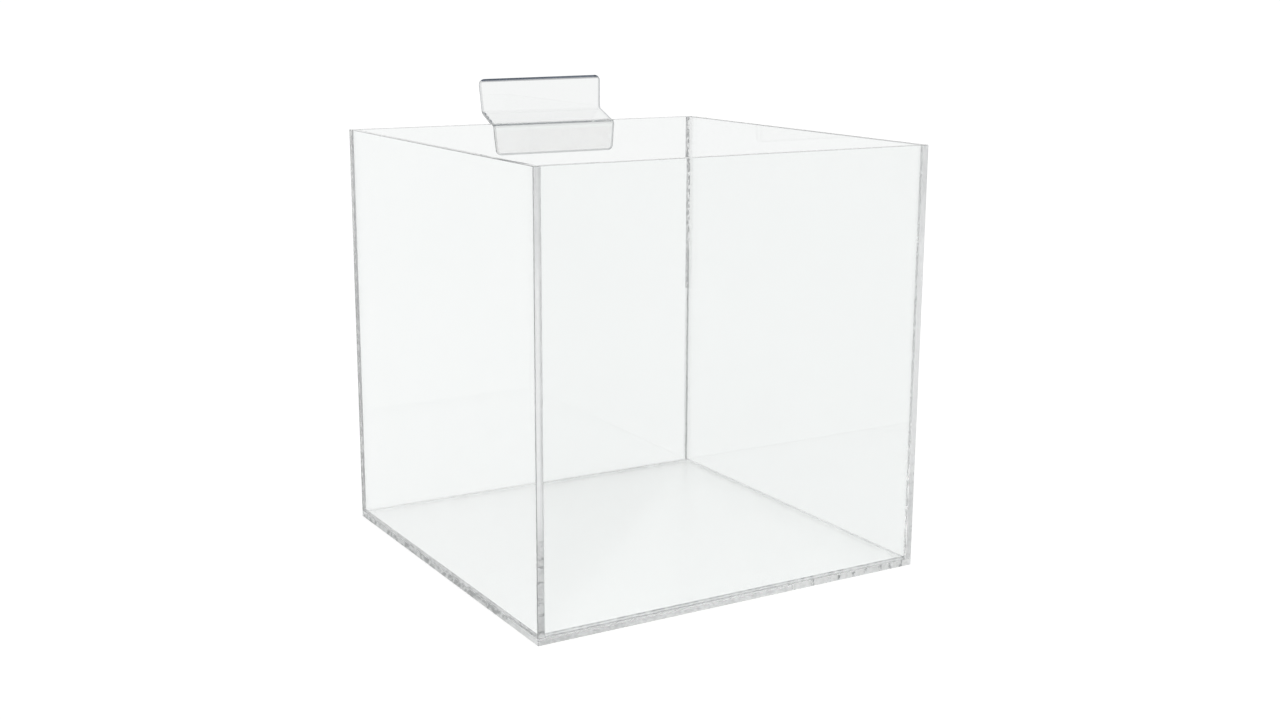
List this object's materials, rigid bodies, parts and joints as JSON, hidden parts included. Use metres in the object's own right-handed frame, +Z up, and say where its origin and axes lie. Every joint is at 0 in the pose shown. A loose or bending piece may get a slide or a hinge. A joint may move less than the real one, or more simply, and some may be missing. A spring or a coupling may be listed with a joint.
{
  "type": "acrylic display cube",
  "caption": "Open-topped cube bin of clear acrylic sheet that stands on its base or hangs from a slatted wall by a bent clear cleat on its back.",
  "frame": {"origin": "middle of the underside of the base panel", "axes": "+Z up, front of the bin towards -Y, the hanging cleat on the back towards +Y, +X to the right seen from the front"},
  "size_m": [0.2032, 0.2189, 0.2255],
  "materials": {
    "clear_sheet": "clear cast acrylic sheet, polished faces, saw-cut and polished edges",
    "bent_sheet": "clear acrylic sheet, line-bent, flame-polished edges",
    "cured_cement": "cured acrylic cement, hazy with small bubbles"
  },
  "bodies": {
    "root": {"base_panel": "clear_sheet", "left_panel": "clear_sheet", "right_panel": "clear_sheet", "front_panel": "clear_sheet", "back_panel": "clear_sheet", "slatwall_cleat": "bent_sheet", "base_left_cement": "cured_cement", "base_right_cement": "cured_cement", "base_front_cement": "cured_cement", "base_back_cement": "cured_cement", "front_left_cement": "cured_cement", "front_right_cement": "cured_cement", "back_left_cement": "cured_cement", "back_right_cement": "cured_cement", "cleat_cement": "cured_cement"}
  },
  "joints": []
}
